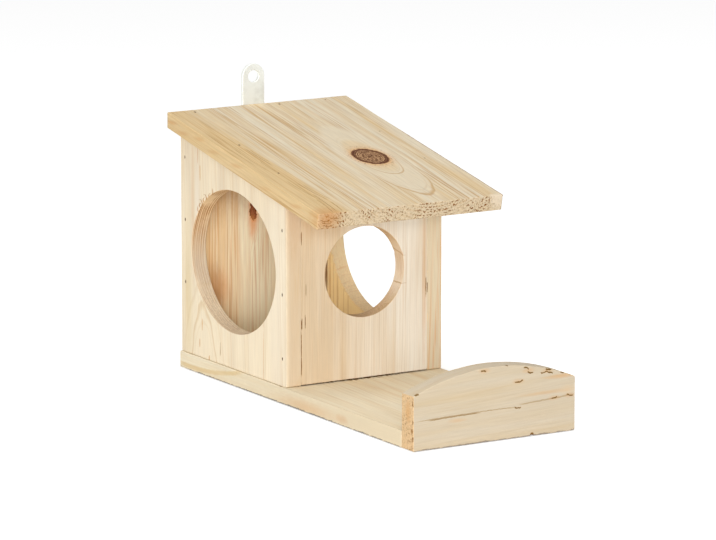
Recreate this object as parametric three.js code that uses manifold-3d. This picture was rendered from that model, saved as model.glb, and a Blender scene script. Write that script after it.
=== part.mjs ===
// Squirrel feeder box: seven nailed boards, a metal hanging plate with two screws, and the nails.
// Millimetres, +Z up. The tray points to -Y, the hanging plate is at +Y, and X runs across the width.
// The origin is under the middle of the whole feeder, on the surface that it stands on.

import * as THREE from 'three';
import { mergeVertices } from 'three/addons/utils/BufferGeometryUtils.js';
import Module from 'manifold-3d';

const wasm = await Module();
wasm.setup();

// Box
const boxWidth = 102;
const boxDepth = 120;
const frontHeight = 108;
const roofSlopeDegrees = 11;
const sideThickness = 9.5;
const frontThickness = 9.5;
const backThickness = 9.5;
const frontFootGap = 0.6;

// Feeding holes, by the wood left around them
const sideHoleEdge = 12;
const sideHoleSill = 21;
const sideHoleHeader = 16.7;
const frontHoleDiameter = 52;
const frontHoleHeader = 20.5;

// Base board and tray
const baseThickness = 9.5;
const baseSideLedge = 1;
const baseBackLedge = 1;
const trayLength = 124;

// End board
const endThickness = 12;
const endSideLedge = 1;
const endShoulderHeight = 30.2;
const endArchRise = 11;

// Roof
const roofThickness = 9;
const roofSideOverhang = 9;
const roofFrontOverhang = 50.5;

// Hanging plate
const plateWidth = 14.5;
const plateThickness = 2;
const plateAboveRoof = 23.5;
const plateBelowRoof = 42;
const plateHoleDiameter = 7;
const plateOffset = -2.4;
const plateEase = 0.2;
const plateScrewFoot = 8;
const plateScrewSpacing = 16;

// Screws of the plate
const screwShankDiameter = 3;
const screwLength = 10;
const screwTipLength = 2.5;
const screwHeadDiameter = 6;
const screwHeadHeight = 2;

// Nails
const nailLength = 20;
const nailTipLength = 1.6;
const nailShankDiameter = 1.2;
const nailHeadDiameter = 2;
const nailHeadHeight = 0.8;
const nailSetDepth = 0.4;

// Places of the nails
const frontNailFoot = 16;
const frontNailTop = 19;
const backNailFoot = 41.5;
const backNailTop = 16;
const roofNailFront = 13.5;
const roofFrontNailInset = 3;
const roofMiddleNailInset = 4.5;
const roofBackNailInset = 7.4;
const roofBackNailOffset = 12.5;
const baseSideNailInset = 20;
const baseCrossNailOffset = 15;

// Fits and finish
const boardGap = 0.2;
const nailClearance = 0.3;
const screwClearance = 0.3;
const edgeEase = 0.4;
const overrun = 1;
const curveSegments = 32;
const nailSides = 12;
const screwSides = 20;
const domeSteps = 3;

// Sizes and places that follow
const slope = THREE.MathUtils.degToRad(roofSlopeDegrees);
const rise = Math.tan(slope);
const innerHalf = boxWidth / 2 - sideThickness;
const frontBoardHalf = innerHalf - boardGap;
const wallFoot = baseThickness + boardGap;
const frontFoot = baseThickness + frontFootGap;
const sideMiddle = (boxWidth - sideThickness) / 2;
const frontMiddle = frontThickness / 2;
const backMiddle = boxDepth - backThickness / 2;
const endBack = -trayLength - boardGap;
const endFront = endBack - endThickness;
const plateFront = boxDepth + boardGap;
const plateBack = plateFront + plateThickness;
const screwSeat = plateBack + boardGap;
const rearmost = screwSeat + screwHeadHeight;

// Heights of the walls' sloping tops and of the roof's two faces, at a distance y behind the front wall's face
const wallTop = (y) => baseThickness + frontHeight + y * rise;
const roofUnder = (y) => wallTop(y) + boardGap;
const roofTop = (y) => roofUnder(y) + roofThickness / Math.cos(slope);

const plateTop = roofTop(boxDepth) + plateAboveRoof;
const plateFoot = roofUnder(boxDepth) - plateBelowRoof;

// Directions in which the nails and screws are driven
const up = new THREE.Vector3(0, 0, 1);
const down = new THREE.Vector3(0, 0, -1);
const rightward = new THREE.Vector3(1, 0, 0);
const leftward = new THREE.Vector3(-1, 0, 0);
const forward = new THREE.Vector3(0, -1, 0);

// Materials

function wood(colour) {
  return new THREE.MeshStandardMaterial({ color: colour, roughness: 0.75, metalness: 0 });
}

function metal(colour, roughness) {
  return new THREE.MeshStandardMaterial({ color: colour, roughness, metalness: 1 });
}

// Solids and the cuts made in them

function toSolid(geometry) {
  const plain = geometry.clone();
  plain.deleteAttribute('normal');
  plain.deleteAttribute('uv');
  const merged = mergeVertices(plain);
  const corners = merged.index.array;
  const triangles = [];
  for (let i = 0; i < corners.length; i += 3) {
    const [a, b, c] = corners.slice(i, i + 3);
    if (a !== b && b !== c && c !== a) {
      triangles.push(a, b, c);
    }
  }
  return new wasm.Manifold(new wasm.Mesh({
    numProp: 3,
    vertProperties: new Float32Array(merged.attributes.position.array),
    triVerts: new Uint32Array(triangles),
  }));
}

function toGeometry(solid) {
  const mesh = solid.getMesh();
  const geometry = new THREE.BufferGeometry();
  geometry.setAttribute('position', new THREE.BufferAttribute(new Float32Array(mesh.vertProperties), 3));
  geometry.setIndex(new THREE.BufferAttribute(new Uint32Array(mesh.triVerts), 1));
  geometry.computeVertexNormals();
  return geometry;
}

function cut(geometry, cutters) {
  let solid = toSolid(geometry);
  for (const cutter of cutters) {
    solid = solid.subtract(toSolid(cutter));
  }
  return toGeometry(solid);
}

// A sawn board: an outline with its thickness, and the edges of both faces eased
function sawn(outline, thickness, ease = edgeEase) {
  const geometry = new THREE.ExtrudeGeometry(outline, {
    depth: thickness - 2 * ease,
    bevelEnabled: true,
    bevelThickness: ease,
    bevelSize: ease,
    bevelOffset: -ease,
    bevelSegments: 1,
    curveSegments,
  });
  return geometry.translate(0, 0, ease);
}

// An outline of (depth, height) stands in the YZ plane, and its thickness runs along +X
function standAlongDepth(geometry) {
  const axes = new THREE.Matrix4().makeBasis(forward.clone().negate(), up, rightward);
  return geometry.applyMatrix4(axes);
}

// An outline of (width, height) stands in the XZ plane, and its thickness runs along -Y
function standAcross(geometry) {
  return geometry.rotateX(Math.PI / 2);
}

function polygon(points) {
  return new THREE.Shape(points.map(([x, y]) => new THREE.Vector2(x, y)));
}

// A turned shape, given as [radius, distance] pairs, with its axis along +Z
function turned(profile, sides) {
  const points = profile.map(([radius, distance]) => new THREE.Vector2(radius, distance));
  return new THREE.LatheGeometry(points, sides).rotateX(Math.PI / 2);
}

// The drill for a round hole through a board, which also eases the hole's two rims. Its axis is +Z.
function holeDrill(radius, depth) {
  const flare = radius + edgeEase + overrun;
  return turned([
    [0, -overrun],
    [flare, -overrun],
    [radius, edgeEase],
    [radius, depth - edgeEase],
    [flare, depth + overrun],
    [0, depth + overrun],
  ], 2 * curveSegments);
}

// Nails and screws. Each shape starts at its seat, is driven along +Z, and has a drill with a clearance.

function nailShape() {
  const shank = nailShankDiameter / 2;
  const head = nailHeadDiameter / 2;
  return turned([
    [0, 0],
    [head, 0],
    [head, nailHeadHeight],
    [shank, nailHeadHeight],
    [shank, nailLength - nailTipLength],
    [0, nailLength],
  ], nailSides);
}

function nailDrill() {
  const shank = nailShankDiameter / 2 + nailClearance;
  const head = nailHeadDiameter / 2 + nailClearance;
  return turned([
    [0, -nailSetDepth - overrun],
    [head, -nailSetDepth - overrun],
    [head, nailHeadHeight + nailClearance],
    [shank, nailHeadHeight + nailClearance],
    [shank, nailLength + nailClearance],
    [0, nailLength + nailClearance],
  ], nailSides);
}

function screwShape() {
  const shank = screwShankDiameter / 2;
  const head = screwHeadDiameter / 2;
  const dome = [[0, -screwHeadHeight]];
  for (let i = domeSteps - 1; i > 0; i -= 1) {
    const angle = (i / domeSteps) * (Math.PI / 2);
    dome.push([head * Math.cos(angle), -screwHeadHeight * Math.sin(angle)]);
  }
  return turned([
    ...dome,
    [head, 0],
    [shank, 0],
    [shank, screwLength - screwTipLength],
    [0, screwLength],
  ], screwSides);
}

function screwDrill() {
  const shank = screwShankDiameter / 2 + screwClearance;
  return turned([
    [0, -overrun],
    [shank, -overrun],
    [shank, screwLength + screwClearance],
    [0, screwLength + screwClearance],
  ], screwSides);
}

const steel = metal(0x8f8a83, 0.5);
const zinc = metal(0xd9d6cf, 0.35);

const kinds = {
  nail: { shape: nailShape, drill: nailDrill, material: steel },
  screw: { shape: screwShape, drill: screwDrill, material: zinc },
};

const fasteners = [];

function drive(kind, name, seat, direction, boards) {
  const mesh = new THREE.Mesh(kinds[kind].shape(), kinds[kind].material.clone());
  mesh.name = name;
  mesh.position.copy(seat);
  mesh.quaternion.setFromUnitVectors(up, direction);
  mesh.updateMatrix();
  fasteners.push({ mesh, boards, drill: kinds[kind].drill });
}

// Heights of a row of three nails between a lowest and a highest one
function rowOfThree(lowest, highest) {
  return [lowest, (lowest + highest) / 2, highest];
}

// Each side wall is nailed into the end grain of the front and back walls
function driveWallNails(side, sign, direction) {
  const face = sign * (boxWidth / 2 - nailSetDepth);
  const frontRow = rowOfThree(baseThickness + frontNailFoot, wallTop(0) - frontNailTop);
  const backRow = rowOfThree(baseThickness + backNailFoot, wallTop(backMiddle) - backNailTop);
  const wall = `${side}_side_panel`;
  frontRow.forEach((height, i) => {
    const seat = new THREE.Vector3(face, frontMiddle, height);
    drive('nail', `${side}_front_nail_${i + 1}`, seat, direction, [wall, 'front_panel']);
  });
  backRow.forEach((height, i) => {
    const seat = new THREE.Vector3(face, backMiddle, height);
    drive('nail', `${side}_back_nail_${i + 1}`, seat, direction, [wall, 'back_panel']);
  });
}

// The roof is nailed down into the tops of the walls
function driveRoofNails() {
  const places = [];
  const rows = [
    [roofNailFront, roofFrontNailInset],
    [boxDepth / 2, roofMiddleNailInset],
    [backMiddle, roofBackNailInset],
  ];
  for (const [side, sign] of [['left', -1], ['right', 1]]) {
    for (const [y, inset] of rows) {
      places.push([sign * (boxWidth / 2 - inset), y, `${side}_side_panel`]);
    }
  }
  places.push([roofBackNailOffset, backMiddle, 'back_panel']);
  places.forEach(([x, y, wall], i) => {
    const seat = new THREE.Vector3(x, y, roofTop(y) - nailSetDepth);
    drive('nail', `roof_nail_${i + 1}`, seat, down, ['roof_board', wall]);
  });
}

// The base is nailed up into the feet of the walls
function driveBaseNails() {
  const places = [];
  for (const [side, sign] of [['left', -1], ['right', 1]]) {
    for (const y of [baseSideNailInset, boxDepth / 2, boxDepth - baseSideNailInset]) {
      places.push([sign * sideMiddle, y, `${side}_side_panel`]);
    }
  }
  for (const x of [-baseCrossNailOffset, baseCrossNailOffset]) {
    places.push([x, frontMiddle, 'front_panel']);
    places.push([x, backMiddle, 'back_panel']);
  }
  places.forEach(([x, y, wall], i) => {
    const seat = new THREE.Vector3(x, y, nailSetDepth);
    drive('nail', `base_nail_${i + 1}`, seat, up, ['base_board', wall]);
  });
}

function drivePlateScrews() {
  for (const [place, height] of [['lower', 0], ['upper', plateScrewSpacing]]) {
    const seat = new THREE.Vector3(plateOffset, screwSeat, plateFoot + plateScrewFoot + height);
    drive('screw', `hanger_screw_${place}`, seat, forward, ['hanger_plate', 'back_panel']);
  }
}

driveWallNails('left', -1, rightward);
driveWallNails('right', 1, leftward);
driveRoofNails();
driveBaseNails();
drivePlateScrews();

// Boards. Each is shaped at its own corner, placed, and drilled for the fasteners that pass into it.

function placed(name, geometry, position, material, cutters = []) {
  const toPiece = new THREE.Matrix4().makeTranslation(position.clone().negate());
  const drills = fasteners
    .filter((fastener) => fastener.boards.includes(name))
    .map((fastener) => fastener.drill().applyMatrix4(fastener.mesh.matrix).applyMatrix4(toPiece));
  const mesh = new THREE.Mesh(cut(geometry, [...cutters, ...drills]), material);
  mesh.name = name;
  mesh.position.copy(position);
  return mesh;
}

function baseBoard() {
  const half = boxWidth / 2 + baseSideLedge;
  const length = trayLength + boxDepth + baseBackLedge;
  const outline = polygon([[-half, 0], [half, 0], [half, length], [-half, length]]);
  const position = new THREE.Vector3(0, -trayLength, 0);
  return placed('base_board', sawn(outline, baseThickness), position, wood(0xe3c9a0));
}

// The end board's top is one flat arch between two square shoulders
function endBoard() {
  const half = boxWidth / 2 + endSideLedge;
  const radius = (half * half + endArchRise * endArchRise) / (2 * endArchRise);
  const centre = endShoulderHeight + endArchRise - radius;
  const shoulder = Math.acos(half / radius);
  const outline = new THREE.Shape();
  outline.moveTo(-half, 0);
  outline.lineTo(half, 0);
  outline.absarc(0, centre, radius, shoulder, Math.PI - shoulder, false);
  outline.closePath();
  const position = new THREE.Vector3(0, endBack, 0);
  return placed('end_board', standAcross(sawn(outline, endThickness)), position, wood(0xe8d0ab));
}

// A side wall has a sloping top and one large oval hole, centred on the wall's depth
function sidePanel(side, x, colour) {
  const foot = wallFoot;
  const outline = polygon([
    [0, 0],
    [boxDepth, 0],
    [boxDepth, wallTop(boxDepth) - foot],
    [0, wallTop(0) - foot],
  ]);
  const lowest = baseThickness + sideHoleSill - foot;
  const highest = wallTop(boxDepth / 2) - sideHoleHeader - foot;
  const hole = new THREE.Path();
  hole.absellipse(
    boxDepth / 2,
    (lowest + highest) / 2,
    boxDepth / 2 - sideHoleEdge,
    (highest - lowest) / 2,
    0,
    2 * Math.PI,
    true,
  );
  outline.holes.push(hole);
  const position = new THREE.Vector3(x, 0, foot);
  return placed(`${side}_side_panel`, standAlongDepth(sawn(outline, sideThickness)), position, wood(colour));
}

// A front or back wall fits between the side walls, with its top sawn to the roof's slope
function crossPanel(name, y, thickness, foot, colour, cutters) {
  const outline = polygon([
    [0, 0],
    [thickness, 0],
    [thickness, wallTop(y + thickness) - foot],
    [0, wallTop(y) - foot],
  ]);
  const geometry = standAlongDepth(sawn(outline, 2 * frontBoardHalf)).translate(-frontBoardHalf, 0, 0);
  return placed(name, geometry, new THREE.Vector3(0, y, foot), wood(colour), cutters);
}

function frontPanel() {
  const radius = frontHoleDiameter / 2;
  const centre = wallTop(0) - frontHoleHeader - radius - frontFoot;
  const drill = holeDrill(radius, frontThickness).rotateX(-Math.PI / 2).translate(0, 0, centre);
  return crossPanel('front_panel', 0, frontThickness, frontFoot, 0xe2c69c, [drill]);
}

function backPanel() {
  return crossPanel('back_panel', boxDepth - backThickness, backThickness, wallFoot, 0xdfc193, []);
}

// The roof's back edge is cut plumb and lies flush with the back wall. Its front edge is cut square.
function roofBoard() {
  const half = boxWidth / 2 + roofSideOverhang;
  const frontTop = roofTop(-roofFrontOverhang);
  const outline = polygon([
    [boxDepth, roofUnder(boxDepth)],
    [boxDepth, roofTop(boxDepth)],
    [-roofFrontOverhang, frontTop],
    [-roofFrontOverhang + roofThickness * Math.sin(slope), frontTop - roofThickness * Math.cos(slope)],
  ]);
  const position = new THREE.Vector3(-half, 0, 0);
  return placed('roof_board', standAlongDepth(sawn(outline, 2 * half)), position, wood(0xdcc294));
}

// The hanging plate has round ends and one round hole on the centre of its upper end
function hangerPlate() {
  const radius = plateWidth / 2;
  const outline = new THREE.Shape();
  outline.absarc(0, plateTop - radius, radius, 0, Math.PI, false);
  outline.absarc(0, plateFoot + radius, radius, Math.PI, 2 * Math.PI, false);
  outline.closePath();
  const hole = new THREE.Path();
  hole.absarc(0, plateTop - radius, plateHoleDiameter / 2, 0, 2 * Math.PI, true);
  outline.holes.push(hole);
  const geometry = standAcross(sawn(outline, plateThickness, plateEase));
  return placed('hanger_plate', geometry, new THREE.Vector3(plateOffset, plateBack, 0), zinc.clone());
}

const feeder = new THREE.Group();
feeder.name = 'squirrel_feeder_box';
feeder.add(
  baseBoard(),
  endBoard(),
  sidePanel('left', -boxWidth / 2, 0xe9d2ab),
  sidePanel('right', innerHalf, 0xe4c99f),
  frontPanel(),
  backPanel(),
  roofBoard(),
  hangerPlate(),
  ...fasteners.map((fastener) => fastener.mesh),
);
feeder.position.y = -(endFront + rearmost) / 2;

export default feeder;
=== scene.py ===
"""Squirrel feeder box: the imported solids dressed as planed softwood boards, nails and a zinc hanging plate.

Metres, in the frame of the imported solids: +Z up, the tray points to -Y and the hanging plate is at +Y.
Shapes are worked out in millimetres on each piece's own axes, and become metres when a mesh is made.
"""

import math
import random
from types import SimpleNamespace

import bpy
import numpy as np
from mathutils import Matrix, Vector, geometry, noise


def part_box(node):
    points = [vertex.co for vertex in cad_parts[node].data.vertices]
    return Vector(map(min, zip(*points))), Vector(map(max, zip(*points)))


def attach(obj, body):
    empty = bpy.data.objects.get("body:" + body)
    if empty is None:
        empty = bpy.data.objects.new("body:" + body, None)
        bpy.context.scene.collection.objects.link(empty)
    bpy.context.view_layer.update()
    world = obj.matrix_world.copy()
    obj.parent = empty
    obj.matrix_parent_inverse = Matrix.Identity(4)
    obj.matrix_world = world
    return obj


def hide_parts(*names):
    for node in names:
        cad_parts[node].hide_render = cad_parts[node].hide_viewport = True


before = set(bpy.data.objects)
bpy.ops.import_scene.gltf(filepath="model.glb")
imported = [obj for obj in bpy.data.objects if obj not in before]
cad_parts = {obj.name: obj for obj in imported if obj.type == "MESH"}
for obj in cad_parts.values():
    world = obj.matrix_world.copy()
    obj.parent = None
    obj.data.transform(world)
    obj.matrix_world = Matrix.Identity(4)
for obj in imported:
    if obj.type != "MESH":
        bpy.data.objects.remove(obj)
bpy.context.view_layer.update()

MM = 0.001
PER_METRE = 1000.0
X, Y, Z = Vector((1, 0, 0)), Vector((0, 1, 0)), Vector((0, 0, 1))


def span(node):
    """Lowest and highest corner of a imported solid, in millimetres"""
    low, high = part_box(node)
    return low * PER_METRE, high * PER_METRE


def stand(thing, place, towards):
    """Puts a camera or a lamp at a place in metres, looking along a direction"""
    thing.location = place
    thing.rotation_mode = "QUATERNION"
    thing.rotation_quaternion = towards.to_track_quat("-Z", "Y")
    bpy.context.scene.collection.objects.link(thing)


# Camera, at the photograph's angle: a long lens, far away

VIEW_AZIMUTH = math.radians(-31.15)
VIEW_ELEVATION = math.radians(11.0)
VIEW_DISTANCE = 2806.0
AIM = Vector((0.0, 5.9, 75.0))      # a point on the front wall, near the middle of the picture
AIM_RIGHT = -3.75                   # the camera's small step aside from there, which frames the picture
AIM_UP = -3.10
LENS = 250.9
SENSOR = 36.0


def make_camera():
    flat = math.cos(VIEW_ELEVATION)
    back = Vector((math.sin(VIEW_AZIMUTH) * flat, -math.cos(VIEW_AZIMUTH) * flat, math.sin(VIEW_ELEVATION)))
    right = Z.cross(back).normalized()
    up = back.cross(right)
    data = bpy.data.cameras.new("camera")
    data.lens = LENS
    data.sensor_width = SENSOR
    camera = bpy.data.objects.new("camera", data)
    stand(camera, (AIM + back * VIEW_DISTANCE + right * AIM_RIGHT + up * AIM_UP) * MM, -back)
    bpy.context.scene.camera = camera


make_camera()
bpy.context.scene.view_settings.view_transform = "Standard"


# Node trees

def two_sided(operation):
    """A method that adds the node of an operation on a term and another term or number"""
    return lambda self, other: self.result(operation, self, other)


class Term:
    """A socket that takes part in sums. Where it is a vector or a colour, its sums are sums of vectors."""

    __add__ = two_sided("ADD")
    __sub__ = two_sided("SUBTRACT")
    __mul__ = two_sided("MULTIPLY")
    __truediv__ = two_sided("DIVIDE")
    __pow__ = two_sided("POWER")
    most = two_sided("MAXIMUM")
    least = two_sided("MINIMUM")

    def __init__(self, graph, socket):
        self.graph = graph
        self.socket = socket
        self.vector = socket.type in ("VECTOR", "RGBA")

    def result(self, operation, *values, output=0):
        kind = "ShaderNodeVectorMath" if self.vector else "ShaderNodeMath"
        if self.vector:
            values = [(value,) * 3 if isinstance(value, (int, float)) else value for value in values]
        return self.graph.add(kind, dict(enumerate(values)), output, operation=operation)

    def __rsub__(self, other):
        return self.result("SUBTRACT", other, self)

    def __abs__(self):
        return self.result("ABSOLUTE", self)

    def apply(self, operation):
        """An operation on this term alone, such as SINE"""
        return self.result(operation, self)

    def dot(self, other):
        return self.result("DOT_PRODUCT", self, other, output="Value")

    def length(self):
        return self.result("LENGTH", self, output="Value")

    def ramp(self, low, high, start=0.0, end=1.0):
        """start below low, end above high, and a smooth step between them"""
        sockets = {"Value": self, "From Min": low, "From Max": high, "To Min": start, "To Max": end}
        return self.graph.add("ShaderNodeMapRange", sockets, interpolation_type="SMOOTHSTEP")

    def noise(self, factors, detail=1.0, output="Fac", **inputs):
        """Noise at this place, scaled by the factors along the axes"""
        sockets = {"Vector": self * factors, "Scale": 1.0, "Detail": detail, **inputs}
        return self.graph.add("ShaderNodeTexNoise", sockets, output)

    def line_noise(self, scale):
        """Noise along a line, at the place that this number gives"""
        sockets = {"W": self, "Scale": scale, "Detail": 1.0}
        return self.graph.add("ShaderNodeTexNoise", sockets, noise_dimensions="1D")


class Graph:
    """A node tree, emptied at first"""

    def __init__(self, tree):
        tree.nodes.clear()
        self.tree = tree

    def put(self, kind, inputs, **settings):
        """Adds a node. Terms are linked to its inputs, and plain values are set on them."""
        node = self.tree.nodes.new(kind)
        for key, value in settings.items():
            setattr(node, key, value)
        for key, value in inputs.items():
            if isinstance(value, Term):
                self.tree.links.new(value.socket, node.inputs[key])
            else:
                node.inputs[key].default_value = value
        return node

    def add(self, kind, inputs, output=0, **settings):
        return Term(self, self.put(kind, inputs, **settings).outputs[output])

    def named(self, node):
        """A node's outputs as terms, by name"""
        return SimpleNamespace(**{socket.name: Term(self, socket) for socket in node.outputs if socket.name})

    def use(self, tree, **inputs):
        """Places a node group"""
        return self.named(self.put("ShaderNodeGroup", inputs, node_tree=tree))

    def mix(self, share, a, b, blend="MIX"):
        sockets = {"Factor": share, 6: a, 7: b}
        return self.add("ShaderNodeMix", sockets, 2, data_type="RGBA", blend_type=blend, clamp_factor=True)

    def combine(self, *parts):
        return self.add("ShaderNodeCombineXYZ", dict(enumerate(parts)))

    def attribute(self, name):
        return self.add("ShaderNodeAttribute", {}, "Fac", attribute_name=name)


def group(name, inputs, outputs):
    """An empty node group, its graph and its inputs. The names of its sockets are sorted by kind."""
    tree = bpy.data.node_groups.new(name, "ShaderNodeTree")
    for direction, kinds in (("INPUT", inputs), ("OUTPUT", outputs)):
        for kind, labels in kinds.items():
            for label in labels.split():
                tree.interface.new_socket(label, in_out=direction, socket_type="NodeSocket" + kind)
    g = Graph(tree)
    return tree, g, g.named(g.put("NodeGroupInput", {}))


def new_material(name):
    """A material with an empty tree, and its graph"""
    material = bpy.data.materials.new(name)
    material.use_nodes = True
    return material, Graph(material.node_tree)


def srgb(red, green, blue):
    """A colour written as a screen shows it, 0 to 255, for a shader"""
    def linear(value):
        value /= 255
        return value / 12.92 if value <= 0.04045 else ((value + 0.055) / 1.055) ** 2.4
    return linear(red), linear(green), linear(blue), 1.0


# Tones of the wood

END_TAN = srgb(216, 188, 150)
RIM_ORANGE = srgb(246, 206, 150)
# Also the tone of the painted shade inside the nail pits
RESIN_AND_SHADE = srgb(92, 58, 28)
# Also the tone of painted shade on the roof's right top edge and in the back wall's inner corner
BARK_AND_SHADE = srgb(120, 84, 46)
SOAK_TONE = srgb(242, 222, 188)
RUST = srgb(176, 110, 48)
AMBER = srgb(196, 132, 66)
OCHRE = srgb(212, 158, 96)
CREAM = srgb(232, 215, 190)
PALE = srgb(246, 236, 220)
EMBER = srgb(240, 158, 92)
OLIVE = srgb(214, 188, 128)
SAND = srgb(216, 200, 170)
WORM = srgb(116, 88, 46)
UMBER = srgb(186, 128, 74)
# Painted light: a pale orange laid over the right wall's inner face
PAINTED_LIGHT = srgb(255, 222, 158)
# Painted contact shadow: a grey line along the bottom edges of the base and the end board
CONTACT_SHADOW = srgb(142, 136, 128)
DARK_FIBRE = srgb(134, 84, 36)
KNOT = dict(halo=srgb(224, 164, 100), ring=srgb(82, 38, 14), core=srgb(222, 178, 128))
RED_KNOT = dict(halo=srgb(240, 158, 96), ring=srgb(78, 30, 22), core=srgb(170, 84, 64))


# Wood: growth rings round the pith, cut by the board's faces, so that the lines run on from face to edge

def make_grain_group():
    """The wood itself, at a place in millimetres across, away from and along the pith"""
    tree, g, own = group(
        "wood_grain",
        dict(Vector="place", Color="early late warm cut",
             Float="bulge ring contrast fibre fine streak wander warmth end bands clear loops pores seed"),
        dict(Color="colour", Float="height late"),
    )
    shifted = own.place + own.seed

    # The trunk's slow wander and the fibres' small waves move the rings sideways
    wander = shifted.noise((1 / 60, 1 / 60, 1 / 150), 1.0, "Color") - 0.5
    waves = shifted.noise((1 / 8, 1 / 8, 1 / 45), 1.0, "Color") - 0.5
    moved = own.place + (wander * own.wander + waves * (1.0, 1.0, 0.0))
    radius = (moved * (1.0, 1.0, 0.0)).length() + own.bulge

    # Ring widths vary, and so does the strength of the dark line that ends each ring
    rings = radius / own.ring
    rings = rings + (rings * 0.35 + own.seed).line_noise(1.0) * 2.0
    phase = rings.apply("FRACT")
    chance = g.add("ShaderNodeTexWhiteNoise", {"W": rings.apply("FLOOR") + own.seed}, noise_dimensions="1D")
    strength = chance ** 1.4 * 0.75 + 0.25
    fading = shifted.noise((1 / 9, 1 / 9, 1 / 80)).ramp(0.3, 0.65, 0.4, 1.15)
    late = phase.ramp(0.64, 0.92) * phase.ramp(1.0, 0.94) * strength * fading

    # Between the rings: fine lines, broader brown streaks, fibres, and slow changes of tone
    fine = shifted.noise((1.05, 1.05, 1 / 55)).ramp(0.5, 0.72) * own.fine
    streak = shifted.noise((0.3, 0.3, 1 / 60), 2.0, Roughness=0.6).ramp(0.56, 0.74) * own.streak
    fibre = shifted.noise((1.1, 1.1, 1 / 22), 3.0, Roughness=0.7)
    bundle = shifted.noise((1 / 9, 1 / 9, 1 / 200), 0.0).ramp(0.38, 0.6, 0.35, 1.0)
    lines = (late * own.contrast).most(fine).most(streak) * bundle * own.clear.ramp(0.0, 1.0, 1.0, 0.15)
    lines = lines.most(own.loops)
    tone = shifted.noise((1 / 12, 1 / 12, 1 / 120)).ramp(0.42, 0.72, 0.0, 0.4)
    band = shifted.noise((1 / 5, 1 / 5, 1 / 180), 2.0).ramp(0.44, 0.62) * own.bands + tone
    warmth = own.warmth + band * own.clear.ramp(0.0, 1.0, 1.0, 0.1)
    colour = g.mix(lines, g.mix(warmth, own.early, own.warm), own.late)
    colour = colour * ((fibre - 0.5) * own.fibre + 1.0)

    # Cut across, the wood is a little darker and its torn fibres make dark dots in rows
    pores = shifted.noise((0.9, 0.9, 0.3), 3.0, Roughness=0.75)
    zones = shifted.noise((1 / 12, 1 / 12, 0)).ramp(0.42, 0.56, 0.4, 1.0)
    rows = phase.ramp(0.25, 0.6, 0.2, 1.0)
    dots = shifted.noise((0.9, 0.9, 0)).ramp(0.5, 0.6) * zones * rows * own.pores
    cut = g.mix(late * 0.4, g.mix(0.8, colour, own.cut), own.late)
    cut = g.mix(dots, cut, DARK_FIBRE) * pores.ramp(0.3, 0.7, 0.88, 1.1)
    height = late * 0.6 + fibre * 0.8 + (pores - dots) * 2.0 * own.end
    g.put("NodeGroupOutput", dict(colour=g.mix(own.end, colour, cut), height=height, late=late))
    return tree


def make_mark_group():
    """A patch round centre: a resin pocket, a bruise, a stain, painted shade or painted light, torn by
    ragged. soft is 0 to 1.
    """
    tree, g, own = group("wood_mark", dict(Vector="place centre size", Float="ragged soft depth"),
                         dict(Float="mask"))
    distance = ((own.place - own.centre) / own.size).length()
    distance = distance + (own.ragged - 0.5) * own.soft.ramp(0.0, 1.0, 2.0, 0.5)
    mask = distance.ramp(1.2, 0.0) * own.soft + distance.ramp(1.1, 0.7) * (1.0 - own.soft)
    g.put("NodeGroupOutput", dict(mask=mask * own.depth))
    return tree


def make_vein_group():
    """A thin line that bends slowly and fades at its ends: a late ring, a crack, a worm's track or a painted
    shade line
    """
    tree, g, own = group(
        "wood_vein",
        dict(Vector="place centre along across inward", Float="bend wide long deep waver ragged depth"),
        dict(Float="mask"),
    )
    away = own.place - own.centre
    along = away.dot(own.along)
    across = away.dot(own.across) - along * along * own.bend + (own.ragged - 0.5) * own.waver
    body = (abs(across) / own.wide).ramp(1.0, 0.3)
    ends = (abs(along) / own.long).ramp(1.0, 0.7)
    under = (abs(away.dot(own.inward)) / own.deep).ramp(1.0, 0.8)
    g.put("NodeGroupOutput", dict(mask=body * ends * under * own.depth))
    return tree


def make_knot_group():
    """Colour of a knot that the board's face cuts. reach is the distance from its middle, 1 at its edge."""
    tree, g, own = group(
        "wood_knot",
        dict(Vector="place", Color="wood halo ring core", Float="reach spread torn"),
        dict(Color="colour", Float="height"),
    )
    ragged = own.place.noise(0.35, 2.0, Roughness=0.7)
    reach = own.reach + (ragged - 0.5) * own.torn
    halo = ((reach - 1.0).most(0.0) / own.spread * -1.0).apply("EXPONENT")
    colour = g.mix(halo * 0.85, own.wood, own.halo)

    # The core's fine circles and specks, then the dark ring at its edge and specks of it outside
    speckle = own.place.noise(0.8, 2.0, Roughness=0.7)
    circles = (own.reach * 52.0).apply("SINE").ramp(-0.6, 0.6, -1.0, 1.0) * reach.ramp(0.35, 0.8, 0.05, 0.4)
    within = reach.ramp(1.0, 0.93)
    colour = g.mix(within, colour, g.mix(speckle.ramp(0.44, 0.62) + circles, own.ring, own.core))
    colour = g.mix(reach.ramp(0.74, 0.92) * reach.ramp(1.08, 1.0) * 0.92, colour, own.ring)
    colour = g.mix(speckle.ramp(0.55, 0.63) * reach.ramp(1.6, 1.1) * 0.6, colour, own.ring)
    g.put("NodeGroupOutput", dict(colour=colour, height=within * speckle * 1.5))
    return tree


GRAIN = make_grain_group()
MARK = make_mark_group()
VEIN = make_vein_group()
KNOT_FACE = make_knot_group()


class Grain:
    """Where a board lay in its trunk: a point on the pith, its direction, and a direction away from it"""

    def __init__(self, pith, along, away):
        self.pith = Vector(pith)
        self.along = Vector(along).normalized()
        self.across = Vector(away).cross(self.along).normalized()
        self.outward = self.along.cross(self.across)


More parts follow.
